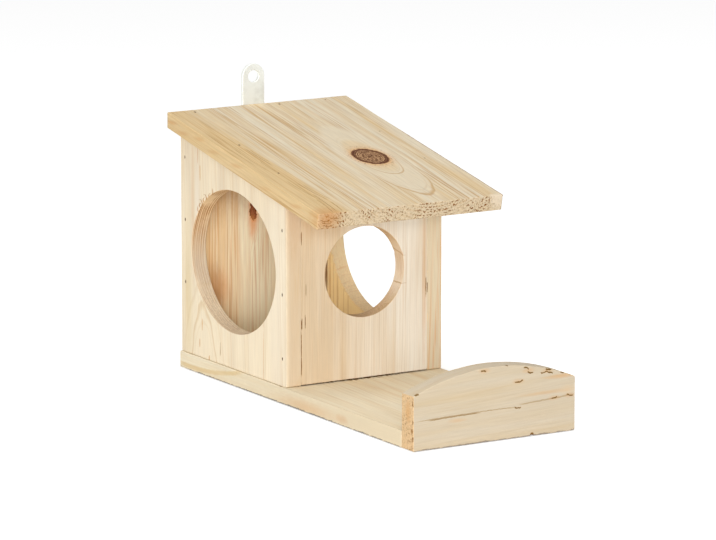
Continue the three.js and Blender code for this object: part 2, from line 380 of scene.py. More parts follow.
def stroke(start, finish, inward, sag=0.0, wide=0.4, depth=0.7, deep=2.0, waver=0.6):
    """A vein from start to finish. inward points into the board, deep is how far it goes in, and sag is how
    far its middle lies off the straight line."""
    start, finish, inward = Vector(start), Vector(finish), Vector(inward)
    half = (finish - start) / 2
    along = half.normalized()
    across = inward.cross(along).normalized()
    return dict(centre=(start + finish) / 2 + across * sag, along=along, across=across, inward=inward,
                bend=-sag / half.length_squared, wide=wide, long=half.length, deep=deep, waver=waver,
                depth=depth)


def mark(centre, size, tone, depth=0.8, soft=0.0):
    """A patch or a fleck of another tone, size millimetres in half length along each axis"""
    return tone, dict(centre=centre, size=size, depth=depth, soft=soft)


def flecks(axis, level, deep, spots):
    """Marks on the face that crosses an axis, 0 to 2, at a level. Each spot is (its two places and its two
    half sizes along the other axes, tone, depth, softness)."""
    marks = []
    for *spot, tone, depth, soft in spots:
        centre, size = spot[:2], spot[2:]
        centre.insert(axis, level)
        size.insert(axis, deep)
        marks.append(mark(centre, size, tone, depth, soft))
    return marks


def stain_and_shade(g, under, mask, tone):
    """Wood soaks up a stain: it turns amber before it turns dark. Painted shade lines and shadows go on the
    same way
    """
    soaked = g.mix((mask * 1.6).least(1.0), under, SOAK_TONE, "MULTIPLY")
    return g.mix(mask, soaked, tone)


WOOD_ROUGHNESS = 0.62
WOOD_GLOSS = 0.08
WOOD_RELIEF = 0.12      # depth of the fine relief in a surface, in millimetres
METAL_RELIEF = 0.03
USUAL_LOOK = dict(ring=2.4, contrast=0.6, fibre=0.25, fine=0.25, streak=0.25, bands=0.3, wander=5.0,
                  pores=0.5, cut=END_TAN)      # the grain, where a board's own look says nothing else


def covered(g, colour, roughness, height, strength, relief, more):
    """Closes a material with its surface. more holds other sockets of the shader and their values."""
    bump = g.add("ShaderNodeBump", {"Height": height, "Strength": strength, "Distance": relief * MM})
    surface = {"Base Color": colour, "Roughness": roughness, "Normal": bump, **more}
    g.put("ShaderNodeOutputMaterial", {"Surface": g.add("ShaderNodeBsdfPrincipled", surface)})


def wood(name, grain, knots=(), marks=(), veins=(), vein_tone=BARK_AND_SHADE, warm_side=None, rim_normal=X,
         rim_tone=(0.0, 1.0), rim_lines=0.0, rim_warm=0.0, **look):
    """A wood material. look holds what the board's grain has of its own, over the usual look. warm_side is
    (direction, start, end) in millimetres for a warmer part of the board, and rim_tone is the pair of heights
    between which the holes' walls turn from pale to orange-brown.

    A knot pushes the rings by push millimetres within about aside and reach of it, across and along the
    grain. Each of its loops is a dark oval of (half width, length before, length after, strength, glow). A
    knot without tones lies outside the board, and only its ovals show."""
    material, g = new_material(name)
    here = g.add("ShaderNodeTexCoord", {}, "Object") * PER_METRE
    away = here - grain.pith
    place = g.combine(away.dot(grain.across), away.dot(grain.outward), away.dot(grain.along))
    end = abs(g.add("ShaderNodeNewGeometry", {}, "True Normal").dot(grain.along)).ramp(0.35, 0.8)

    # Rings part round each knot and close again in long ovals along the grain
    bulge = clear = loops = warmth = 0.0
    faces = []
    uneven = place.noise((0.12, 0.12, 0.06), 2.0) - 0.5
    for knot in knots:
        offset = here - knot["centre"]
        across, along = offset.dot(grain.across), offset.dot(grain.along)
        if knot["tones"]:
            reach = g.combine(across / knot["wide"], along / knot["long"]).length()
            faces.append(dict(reach=reach, spread=knot["halo"], torn=knot["torn"], **knot["tones"]))
        beside = across - knot["shift"]
        distance = g.combine(beside / knot["aside"], along / knot["reach"]).length()
        bulge = (distance * distance * -1.0).apply("EXPONENT") * knot["push"] + bulge
        for half_wide, before, after, depth, glow in knot["loops"]:
            length = (along / -before).most(along / after) ** knot["blunt"]
            width = abs(beside / half_wide)
            size = (length + width * width).apply("SQRT") + uneven * 0.16
            line = size.ramp(0.93, 0.99) * size.ramp(1.025, 0.995)
            echo = size.ramp(0.84, 0.87) * size.ramp(0.89, 0.88)
            fade = along.ramp(-before, after * 0.4, 1.0, knot["fade"])
            loops = (line.most(echo * 0.3) * fade * depth).most(loops)
            clear = size.ramp(1.18, 0.74).most(clear)
            warmth = (size.ramp(1.0, 0.7) * glow).most(warmth)
    if warm_side:
        direction, start, finish = warm_side
        warmth = here.dot(direction).ramp(start, finish, 0.0, 0.9) + warmth
    grained = g.use(GRAIN, place=place, bulge=bulge, warmth=warmth, end=end, clear=clear, loops=loops,
                    **{**USUAL_LOOK, **look})
    colour, height = grained.colour, grained.height
    for face in faces:
        knotted = g.use(KNOT_FACE, wood=colour, place=here, **face)
        colour, height = knotted.colour, height + knotted.height

    # Patches and flecks, then thin lines and cracks. Some patches are painted light and painted shade, and
    # one line is painted shade
    ragged = place.noise((0.6, 0.6, 0.2), 2.0, Roughness=0.7)
    for tone, settings in marks:
        mask = g.use(MARK, place=here, ragged=ragged, **settings).mask
        if settings["soft"]:
            colour = g.mix(mask, colour, tone)
        else:
            colour, height = stain_and_shade(g, colour, mask, tone), height - mask
    if veins:
        wavy = here.noise(0.45)
        line = 0.0
        for settings in veins:
            line = g.use(VEIN, place=here, ragged=wavy, **settings).mask.most(line)
        colour, height = stain_and_shade(g, colour, line, vein_tone), height - line

    # The holes' walls keep the saw's layered lines, and the walls of the torn nail pits are painted dark
    # brown as shade
    rim = g.attribute("rim")
    layer = here.dot(rim_normal) + here.noise(0.04) * 3.0
    sawn = layer.line_noise(1.3).ramp(0.47, 0.55) * here.noise(0.07, 2.0).ramp(0.34, 0.56) * rim * rim_lines
    orange = here.dot(Z).ramp(*rim_tone) * rim
    colour = g.mix(orange * rim_warm, colour, RIM_ORANGE)
    colour = g.mix(sawn * orange.ramp(0.0, 1.0, 0.35, 1.0), colour, RUST)
    # Painted shade inside the nail pits
    colour = g.mix(g.attribute("pit") * 0.95, colour, RESIN_AND_SHADE)
    roughness = grained.late * -0.12 + end * 0.2 + WOOD_ROUGHNESS
    covered(g, colour, roughness, height - sawn * 1.6, 0.7, WOOD_RELIEF, {"Specular IOR Level": WOOD_GLOSS})
    return material


def metal(name, colour, dark, roughness, spots):
    """A plated or plain metal, clouded and finely scratched"""
    material, g = new_material(name)
    here = g.add("ShaderNodeTexCoord", {}, "Object") * PER_METRE
    clouds = here.noise(spots, 3.0, Roughness=0.65)
    scratches = here.noise((2.5, 2.5, 0.25), 3.0, Roughness=0.7)
    scratched = scratches.ramp(0.2, 0.8, roughness - 0.08, roughness + 0.1)
    covered(g, g.mix(clouds.ramp(0.4, 0.75), colour, dark), scratched, scratches + clouds, 0.35, METAL_RELIEF,
            {"Metallic": 1.0})
    return material


# Meshes: closed surfaces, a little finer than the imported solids

EDGE = 0.5           # radius of a planed board's worn edges
SAWN_EDGE = 0.25     # radius of the walls' edges, which are only sawn
CORNER = 0.85        # radius of a board's corners, seen flat on
STEP = 1.3           # distance between points along an outline
HOLE_STEP = 1.0      # the same round a hole
FACE_STEP = 7.0      # distance between the loose points inside a face
ARC_STEPS = 3        # steps round a worn edge or a corner
STRAIGHT = math.radians(85)      # half angle from which a corner is left as it is
WEAR_LENGTH = 6.0    # distance over which an edge's wear changes, and so on for the next three
ROUGH_LENGTH = 1.7
WAVE_LENGTH = 14.0
SWELL_LENGTH = 35.0
WAVE_GAIN = 1.6      # height of the waves, where the roughness is 1
SWELL = 0.05         # height of the swell
LOOP_SHIFT = 3.7     # keeps the edges of one board's outline and holes unlike
RIM_BORDER = 0.35    # width of the strip of a face next to a hole
PIT_SIDES = 12
PIT_LIP = 0.35       # width of the strip of a face next to a nail's pit
PIT_DEPTH = 1.4
PIT_TEAR = 0.3       # how uneven a pit's mouth is, as a share of its radius
HEAD_ROOM = 1.2      # radius of a pit round the nail's head


def ripple(points, scale, seed):
    """Smooth noise from about -1 to 1 at each of some points"""
    shift = Vector((seed * 17.3, seed * 5.1, seed * 9.7))
    return [noise.noise(Vector(p) / scale + shift) for p in points]


def divided(points, step):
    """A closed line with points added, so that none is further than step from the next"""
    result = []
    for a, b in zip(points, points[1:] + points[:1]):
        count = max(1, math.ceil((b - a).length / step))
        result += [a.lerp(b, k / count) for k in range(count)]
    return result


def rounded(corners, radius, step):
    """A closed polygon, counter-clockwise, with rounded corners and divided sides"""
    points = []
    for i, corner in enumerate(corners):
        before = (corners[i - 1] - corner).normalized()
        after = (corners[(i + 1) % len(corners)] - corner).normalized()
        half = before.angle(after) / 2
        if half > STRAIGHT:
            points.append(corner)
            continue
        centre = corner + (before + after).normalized() * radius / math.sin(half)
        start = corner + before * radius / math.tan(half) - centre
        end = corner + after * radius / math.tan(half) - centre
        for k in range(ARC_STEPS + 1):
            points.append(centre + start.lerp(end, k / ARC_STEPS).normalized() * radius)
    return divided(points, step)


def around(count):
    """Equal turns round a circle"""
    return [2 * math.pi * k / count for k in range(count)]


def oval(centre, half_wide, half_high, step):
    """A closed oval, clockwise, for a hole"""
    turns = around(max(12, round(2 * math.pi * max(half_wide, half_high) / step)))
    return [Vector((centre[0] + half_wide * math.cos(t), centre[1] - half_high * math.sin(t))) for t in turns]


def with_normals(loop):
    """Points of a closed line and unit normals to the right of its direction, which is away from the solid"""
    points = np.array([tuple(p) for p in loop])
    along = np.roll(points, -1, 0) - np.roll(points, 1, 0)
    normals = np.stack([along[:, 1], -along[:, 0]], 1)
    return points, normals / np.linalg.norm(normals, axis=1)[:, None]


def inside(spots, loops):
    """Whether each spot lies inside an odd number of closed loops"""
    odd = np.zeros(len(spots), bool)
    x, y = spots[:, 0], spots[:, 1]
    for loop in loops:
        for (ax, ay), (bx, by) in zip(loop, np.roll(loop, -1, 0)):
            if ay != by:
                odd ^= ((ay > y) != (by > y)) & (x < (bx - ax) * (y - ay) / (by - ay) + ax)
    return odd


def bent(points, normals, warp):
    """Unit normals after warp has moved the points"""
    near = 0.01
    helper = np.where(np.abs(normals[:, :1]) < 0.9, [[1.0, 0, 0]], [[0, 1.0, 0]])
    across = np.cross(normals, helper)
    along = np.cross(normals, across)
    base = warp(points)
    moved = np.cross(warp(points + across * near) - base, warp(points + along * near) - base)
    length = np.linalg.norm(moved, axis=1)[:, None]
    return np.where(length > 0, moved / np.maximum(length, 1e-12), 0.0)


class Shape:
    """A closed mesh built from rings of points"""

    def __init__(self):
        self.points = []
        self.faces = []
        self.normals = []
        self.rim = []
        self.pit = []

    def put(self, point, rim=0.0, pit=0.0, normal=(0, 0, 0)):
        """Adds a point and returns its number. A normal of zero is worked out from the faces round it."""
        self.points.append(tuple(point))
        self.normals.append(tuple(normal))
        self.rim.append(rim)
        self.pit.append(pit)
        return len(self.points) - 1

    def band(self, *rows):
        """Joins each ring to the next. Seen from outside, rings run to the right, the lowest first."""
        for lower, upper in zip(rows, rows[1:]):
            for k in range(len(lower)):
                n = (k + 1) % len(lower)
                self.faces.append((lower[k], lower[n], upper[n], upper[k]))

    def fan(self, ring, tip, **more):
        """Closes a ring with a point"""
        middle = self.put(tip, **more)
        for k in range(len(ring)):
            self.faces.append((ring[k], ring[(k + 1) % len(ring)], middle))

    def fill(self, rings, level, up, seed, spacing):
        """Fills the face between rings, at height level(x, y), with loose points about spacing apart"""
        ids = [i for ring in rings for i in ring]
        flat = [Vector(self.points[i][:2]) for i in ids]
        edges = []
        for ring in rings:
            start = len(edges)
            edges += [(start + k, start + (k + 1) % len(ring)) for k in range(len(ring))]
        border = np.array([tuple(p) for p in flat])
        loops = [np.array([self.points[i][:2] for i in ring]) for ring in rings]
        low, high = border.min(0), border.max(0)
        dice = random.Random(f"{seed} {up}")
        spots = np.array([(x + dice.uniform(-1, 1) * spacing / 4, y + dice.uniform(-1, 1) * spacing / 4)
                          for x in np.arange(low[0] + spacing / 2, high[0], spacing)
                          for y in np.arange(low[1] + spacing / 2, high[1], spacing)])
        for spot in spots[inside(spots, loops)]:
            if np.hypot(*(border - spot).T).min() > spacing / 3:
                flat.append(Vector(spot))
        found, _, faces, origins, _, _ = geometry.delaunay_2d_cdt(flat, edges, [], 1, 1e-5, True)
        numbers = []
        for point, origin in zip(found, origins):
            known = [i for i in origin if i < len(ids)]
            if known:
                numbers.append(ids[known[0]])
            else:
                spot = (point.x, point.y, level(point.x, point.y))
                numbers.append(self.put(spot, normal=(0, 0, 1 if up else -1)))
        middles = np.array([sum((found[i] for i in face), Vector((0, 0))) / len(face) for face in faces])
        for face, solid in zip(faces, inside(middles, loops)):
            if solid:
                corners = [numbers[i] for i in face]
                self.faces.append(tuple(corners if up else reversed(corners)))

    def build(self, name, axes, origin, material, slot, nodes=(), warp=None):
        """Makes the object, turned onto its place. It replaces the nodes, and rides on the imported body."""
        points, normals = np.array(self.points), np.array(self.normals, float)
        if warp:
            points, normals = warp(points), bent(points, normals, warp)
        turn = np.array([tuple(axis) for axis in axes])
        normals = normals @ turn
        mesh = bpy.data.meshes.new(name)
        mesh.from_pydata([tuple(p) for p in (points @ turn + np.array(origin)) * MM], [], self.faces)
        for label, values in (("rim", self.rim), ("pit", self.pit)):
            mesh.attributes.new(label, "FLOAT", "POINT").data.foreach_set("value", values)
        mesh.materials.append(material)
        mesh.polygons.foreach_set("use_smooth", [True] * len(mesh.polygons))
        mesh.update()
        own = np.zeros(len(mesh.vertices) * 3)
        mesh.vertex_normals.foreach_get("vector", own)
        known = np.linalg.norm(normals, axis=1) > 0.5
        own = np.where(known[:, None], normals, own.reshape(-1, 3))
        mesh.normals_split_custom_set_from_vertices(own.tolist())
        piece = bpy.data.objects.new(name, mesh)
        bpy.context.scene.collection.objects.link(piece)
        if nodes:
            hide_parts(*nodes)
        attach(piece, "root")

    def dress(self, node, *place, **more):
        """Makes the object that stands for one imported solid"""
        self.build(f"{node}_dressed", *place, nodes=[node], **more)


def edge_profile(thickness, edge, step, border):
    """(inset, height, turn) of the points across an edge, from one face to the other. The turn, -1 to 1, is
    how far the surface faces down or up. A border adds a point on each face, next to the edge."""
    half = [(edge + border, 0.0, -1.0)] if border else []
    for k in range(ARC_STEPS + 1):
        turn = math.pi / 2 * k / ARC_STEPS
        half.append((edge * (1 - math.sin(turn)), edge * (1 - math.cos(turn)), -math.cos(turn)))
    rows = max(1, round((thickness - 2 * edge) / step))
    middle = [(0.0, edge + (thickness - 2 * edge) * k / rows, 0.0) for k in range(1, rows)]
    other = [(inset, thickness - height, -turn) for inset, height, turn in reversed(half)]
    return half + middle + other


class Board(Shape):
    """A board: outline in (x, y), thickness in z, with worn edges and pits for nails"""

    def __init__(self, thickness, seed, edge=EDGE, step=STEP, rough=0.05, wear=0.4):
        super().__init__()
        self.thickness = thickness
        self.seed = seed
        self.edge = edge
        self.step = step
        self.rough = rough
        self.wear = wear
        self.rings = ([], [])

    def outline(self, *corners, notch=None):
        self.loop(rounded([Vector(corner) for corner in corners], CORNER, self.step), notch=notch)

    def oblong(self, wide, tall):
        self.outline((0, 0), (wide, 0), (wide, tall), (0, tall))

    def loop(self, line, rim=0.0, border=0.0, notch=None):
        """Sweeps the edge profile round one closed line. notch(x, y) is how far a nick goes in."""
        places, normals = with_normals(line)
        number = self.seed + LOOP_SHIFT * len(self.rings[0])
        flat = [(x, y, 0) for x, y in places]
        worn = ripple(flat, WEAR_LENGTH, number), ripple(flat, WEAR_LENGTH, number + 1)
        rows = []
        for inset, height, turn in edge_profile(self.thickness, self.edge, self.step, border):
            row = []
            for i, ((x, y), normal) in enumerate(zip(places, normals)):
                reach = -inset * (1 + abs(turn) * self.wear * worn[height > self.thickness / 2][i])
                if inset < self.edge:
                    spot = Vector((x, y, height * 1.5))
                    reach += self.rough * noise.noise(spot / ROUGH_LENGTH + X * number)
                    reach += WAVE_GAIN * self.rough * noise.noise(spot / WAVE_LENGTH + Y * number)
                if notch:
                    reach -= notch(x, y)
                level = math.sqrt(1 - turn * turn)
                row.append(self.put((x + normal[0] * reach, y + normal[1] * reach, height),
                                    rim if abs(turn) < 0.9 else 0.0,
                                    normal=(normal[0] * level, normal[1] * level, turn)))
            rows.append(row)
        self.band(*rows)
        self.rings[0].append(rows[0])
        self.rings[1].append(rows[-1])

    def nail_pit(self, side, centre, mouth, stretch):
        """A pit over a nail's head. Fibres closed over it, so its torn mouth is narrower than the head."""
        sign, level = (1, 0) if side == 0 else (-1, self.thickness)
        rings = []
        for radius, drop in ((mouth + PIT_LIP, 0.0), (mouth, 0.08), (mouth, 0.3), (HEAD_ROOM, 0.42),
                             (HEAD_ROOM - 0.05, PIT_DEPTH)):
            at_mouth = drop < 0.35
            wide, tall = stretch if at_mouth else (1.0, 1.0)
            ring = []
            for k, turn in enumerate(around(PIT_SIDES)):
                reach = radius * (1 + PIT_TEAR * at_mouth * noise.noise(Vector((k * 1.7, *centre))))
                spot = (centre[0] + reach * math.cos(turn) * wide, centre[1] + reach * math.sin(turn) * tall)
                normal = (0, 0, -sign) if drop == 0 else (0, 0, 0)
                ring.append(self.put((*spot, level + sign * drop), pit=float(drop > 0), normal=normal))
            rings.append(ring if side else ring[::-1])
        self.band(*rings)
        self.fan(rings[-1], (*centre, level + sign * PIT_DEPTH), pit=1.0)
        self.rings[side].append(rings[0])

    def build(self, *place, **more):
        def swell(x, y):
            return SWELL * noise.noise(Vector((x, y, 0)) / SWELL_LENGTH + X * self.seed)

        self.fill(self.rings[0], swell, False, self.seed, FACE_STEP)
        self.fill(self.rings[1], lambda x, y: self.thickness + swell(x, y), True, self.seed, FACE_STEP)
        super().build(*place, **more)


# The boards

SLOPE = math.radians(11)
RISE = math.tan(SLOPE)
DOWNHILL = Vector((0, math.cos(SLOPE), math.sin(SLOPE)))
ROOF_NORMAL = Vector((0, -math.sin(SLOPE), math.cos(SLOPE)))
ROOF_THICK = 9.0
SIDE_HOLE_EDGE = 12.0        # wood left in front of and behind a side wall's hole, below it and above it
SIDE_HOLE_SILL = 21.0
SIDE_HOLE_HEADER = 16.7
FRONT_HOLE_RADIUS = 26.0
FRONT_HOLE_HEADER = 20.5     # wood left above the front wall's hole
SIDE_PIT = 0.5, (0.8, 1.5)   # radius of a nail pit's torn mouth, and its stretch across and along
BASE_PIT = 0.7, (0.9, 1.4)
ROOF_PIT = 0.45, (0.9, 1.2)
SMALL_PIT = 0.2, (0.9, 1.2)  # for the roof's right row of nails, which lies beyond RIGHT_ROW
RIGHT_ROW = 30.0
NICK_HALF = 0.8              # half width of a nick that the saw tore out of an edge
END_NICK = 23.9              # place of the nick in the end board's foot, from its middle
ARCH_RISE = 11.0
ARCH_STEPS = 80
JOINT = 0.15                 # how far the cross walls reach into the gap beside them
SLANT = 6.0                  # length of the part of a board that follows its slanted end

wall_low, wall_high = span("left_side_panel")
base_low, base_high = span("base_board")
front_low, front_high = span("front_panel")
back_low, back_high = span("back_panel")
roof_low, roof_high = span("roof_board")
end_low, end_high = span("end_board")
plate_low, plate_high = span("hanger_plate")
right_inner = span("right_side_panel")[0].x
wall_depth = wall_high.y - wall_low.y
front_top = wall_high.z - wall_depth * RISE


def fasteners(prefix):
    """Name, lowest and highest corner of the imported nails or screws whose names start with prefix"""
    return [(name, *span(name)) for name in sorted(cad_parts) if name.startswith(prefix)]


def middles(prefix):
    return [(low + high) / 2 for _, low, high in fasteners(prefix)]


def side_hole():
    """Middle of the side walls' oval hole in (y, z), and its half width and half height"""
    low = base_high.z + SIDE_HOLE_SILL
    high = front_top + wall_depth / 2 * RISE - SIDE_HOLE_HEADER
    return (wall_low.y + wall_depth / 2, (low + high) / 2), wall_depth / 2 - SIDE_HOLE_EDGE, (high - low) / 2


def side_panel(side, inner_left, material, seed, outer):
    board = Board(wall_high.x - wall_low.x, seed, SAWN_EDGE)
    foot = wall_low.z
    board.outline((0, 0), (wall_depth, 0), (wall_depth, wall_high.z - foot), (0, front_top - foot))
    (y, z), half_wide, half_high = side_hole()
    board.loop(oval((y - wall_low.y, z - foot), half_wide, half_high, HOLE_STEP), rim=1.0, border=RIM_BORDER)
    for centre in middles(f"{side}_front_nail") + middles(f"{side}_back_nail"):
        board.nail_pit(outer, (centre.y - wall_low.y, centre.z - foot), *SIDE_PIT)
    board.dress(f"{side}_side_panel", (Y, Z, X), (inner_left, wall_low.y, foot), material, "side_wood")


def nicks(*places):
    """How far the nicks at (x, y, depth) go into an edge at a point of it"""
    def notch(x, y):
        return sum(deep * math.exp(-((x - at_x) ** 2 + (y - at_y) ** 2) / NICK_HALF ** 2)
                   for at_x, at_y, deep in places)
    return notch


def stretched(length, gain):
    """A warp that slants the far end of a board: gain(z) is how much longer than length it is there"""
    def warp(points):
        points = points.copy()
        near = np.clip((points[:, 1] - (length - SLANT)) / SLANT, 0, 1)
        points[:, 1] += near * gain(points[:, 2])
        return points
    return warp


def cross_panel(node, low, high, material, seed, hole=None, torn=()):
    """The front or back wall, whose top slants with the roof. torn are nicks in the rim of its hole."""
    thickness = high.y - low.y
    board = Board(thickness, seed, SAWN_EDGE)
    low, high = low - X * JOINT, high + X * JOINT
    wide, tall = high.x - low.x, high.z - low.z - thickness * RISE
    board.oblong(wide, tall)
    if hole:
        centre = (wide / 2, front_top - FRONT_HOLE_HEADER - hole - low.z)
        places = [(x - low.x, z - low.z, deep) for x, z, deep in torn]
        board.loop(oval(centre, hole, hole, HOLE_STEP), rim=1.0, border=RIM_BORDER, notch=nicks(*places))

    # Thickness runs towards -Y, so the height gained grows towards the back
    board.dress(node, (X, Z, -Y), (low.x, high.y, low.z), material, "cross_wall_wood",
                warp=stretched(tall, lambda z: (thickness - z) * RISE))


def roof_board(material):
    board = Board(ROOF_THICK, 5.0, rough=0.08)
    lean = ROOF_THICK * math.sin(SLOPE)
    front = roof_low.y + lean
    length = (roof_high.y - front) / math.cos(SLOPE)
    board.oblong(roof_high.x - roof_low.x, length)
    for head in middles("roof_nail"):
        along = (head.y - front + lean) / math.cos(SLOPE)
        board.nail_pit(1, (head.x - roof_low.x, along), *(ROOF_PIT if head.x < RIGHT_ROW else SMALL_PIT))
    board.dress("roof_board", (X, DOWNHILL, ROOF_NORMAL), (roof_low.x, front, roof_low.z), material,
                "roof_wood", warp=stretched(length, lambda z: z * RISE))


def base_board(material):
    board = Board(base_high.z - base_low.z, 8.0)
    board.oblong(base_high.x - base_low.x, base_high.y - base_low.y)
    for head in middles("base_nail"):
        board.nail_pit(0, (head.x - base_low.x, head.y - base_low.y), *BASE_PIT)
    board.dress("base_board", (X, Y, Z), base_low, material, "base_wood")


def end_board(material):
    board = Board(end_high.y - end_low.y, 11.0, rough=0.07)
    half = (end_high.x - end_low.x) / 2
    top = end_high.z - end_low.z
    shoulder = top - ARCH_RISE
    radius = (half * half + ARCH_RISE * ARCH_RISE) / (2 * ARCH_RISE)
    turns = [math.asin(half / radius) * (1 - 2 * k / ARCH_STEPS) for k in range(1, ARCH_STEPS)]
    arch = [(half + radius * math.sin(turn), top - radius + radius * math.cos(turn)) for turn in turns]
    board.outline((0, 0), (2 * half, 0), (2 * half, shoulder), *arch, (0, shoulder),
                  notch=nicks((half + END_NICK, 0.0, 0.7)))
    board.dress("end_board", (X, Z, -Y), (end_low.x, end_high.y, end_low.z), material, "end_board_wood")


FIBRE_RADIUS = 0.2
FIBRE_THINNING = 0.75      # share of the radius that is gone at the tip
FIBRE_SIDES = 6
FIBRE_STEPS = 14
FIBRE_LEAN = 0.4           # how much a fibre stands out from the wall at its root
FIBRE_SINK = 0.1           # depth of the root's middle under the wall's face


def torn_fibres(name, strands, material):
    """Thin strands that the saw left hanging on the left hole's edge. Each is (where on the oval, length,
    heading, curl), with angles in degrees from the back towards the top."""
    centre, half_wide, half_high = side_hole()
    shape = Shape()
    for at, length, heading, curl in strands:
        turn, heading, curl = math.radians(at), math.radians(heading), math.radians(curl)
        place = Vector((wall_low.x + FIBRE_SINK, centre[0] + half_wide * math.cos(turn),
                        centre[1] + half_high * math.sin(turn)))
        rows = []
        for k in range(FIBRE_STEPS + 1):
            share = k / FIBRE_STEPS
            lean = FIBRE_LEAN * (1 - share) ** 3
            along = Vector((-lean, math.cos(heading), math.sin(heading))).normalized()
            side = along.cross(X).normalized()
            radius = FIBRE_RADIUS * (1 - FIBRE_THINNING * share)
            row = []
            for angle in around(FIBRE_SIDES):
                out = side * math.cos(angle) + along.cross(side) * math.sin(angle)
                row.append(shape.put(place + out * radius, rim=1.0))
            rows.append(row)
            place = place + along * length / FIBRE_STEPS
            heading += curl / FIBRE_STEPS
        shape.band(*rows)
        for row in (rows[0][::-1], rows[-1]):
            shape.fan(row, sum((Vector(shape.points[i]) for i in row), Vector()) / len(row), rim=1.0)
    shape.build(name, (X, Y, Z), (0, 0, 0), material, "side_wood")


# Where each board lay in its trunk, and what shows on it

LEFT_FACE, TRAY_SIDE = wall_low.x, base_low.x
FRONT_FACE, BACK_FACE, ROOF_FRONT, TRAY_END = wall_low.y, back_low.y, roof_low.y, end_low.y
ROOF_TOP = roof_low.z + ROOF_THICK * math.cos(SLOPE)     # height of the roof's upper face at its front edge
INTO_ROOF = -ROOF_NORMAL
FRONT_GAP = base_high.z + 0.4      # height of the dark line under the front wall
SIDE_GRAIN = Grain((-28, 100, 60), (0, 0.03, 1), (-1, 0, 0))


def roof_top(x, y):
    """A point on the roof's upper face"""
    return (x, y, ROOF_TOP + (y - ROOF_FRONT) * RISE)


roof_wood = wood(
    "roof_wood",
    Grain((14, 20, 178), DOWNHILL, ROOF_NORMAL),
    early=srgb(224, 211, 186), late=srgb(186, 142, 82), warm=srgb(218, 190, 143), cut=srgb(213, 193, 161),
    ring=2.3, contrast=0.85, fibre=0.45, fine=0.75, streak=0.4, bands=0.4, wander=3.0, seed=3.0, pores=1.0,
    warm_side=((-1, 0, 0), 30, 56),
    knots=[dict(centre=(18.2, 29.9, 131), wide=9.7, long=12.4, reach=45.0, aside=17.0, push=-5.0, halo=0.2,
                shift=-0.4, blunt=2.2, fade=0.12, torn=0.24, tones=KNOT,
                loops=((11.8, 30.0, 33.0, 0.6, 0.5), (15.6, 65.0, 55.0, 0.65, 0.1)))],
    marks=[mark((-54, -45, 114), (10, 14, 9), AMBER, 0.65, 0.8),
           mark((58, -44, 117), (7, 3, 8), CREAM, 0.85, 0.3)]
    + flecks(0, roof_low.x, 1.2, [
        (y, roof_top(0, y)[2] - down, 8, 1.5, AMBER, depth, 0.9) for y, down, depth in (
            (120, 4, 0.4), (107, 6, 0.3), (88, 3, 0.3), (72, 5, 0.25), (46, 4, 0.3), (14, 6, 0.2),
            (-20, 4, 0.3))]),

    # Arcs in the left end grain, short lines behind them, lines by the left edge, and painted shade along the
    # right top edge
    veins=[stroke((x, ROOF_FRONT, z), (x + 7, ROOF_FRONT, z - 1), DOWNHILL, sag, 0.35, 0.5, 3.0)
           for x, z, sag in ((-59, 114.0, 1.0), (-58, 112.3, 0.8), (-57, 110.5, 0.6), (-53, 114.8, 0.8),
                             (-50, 113.0, 0.9))]
    + [stroke((x, ROOF_FRONT + 1, 118), (x + 1, ROOF_FRONT + long, 118 + long * RISE), INTO_ROOF,
              0.5, 0.35, 0.5, 3.0)
       for x, long in ((-50, 22), (-47.5, 30), (-44, 17))]
    + [stroke(roof_top(x, y), roof_top(x + aside, y - long), INTO_ROOF, 0.4, 0.3, depth, 2.5, 0.5)
       for x, y, aside, long, depth in (
           (-46.3, 62, 1.5, 32, 0.55), (-44.5, 58, 0.8, 22, 0.4), (-48.6, 40, 0.5, 20, 0.35),
           (-46.4, 4, 4, 32, 0.5), (-44.4, 0, 3.5, 26, 0.35), (-50, 8, 2, 30, 0.4), (-53, 62, 1, 40, 0.35),
           (-56, 90, 1, 60, 0.3))]
    # Painted shade: a thin dark line along the roof's right top edge
    + [stroke(roof_top(roof_high.x - 0.5, ROOF_FRONT - 30), roof_top(roof_high.x - 0.5, ROOF_FRONT + 120),
              INTO_ROOF, 0.0, 0.6, 0.6, 0.7, 0.3)],
)
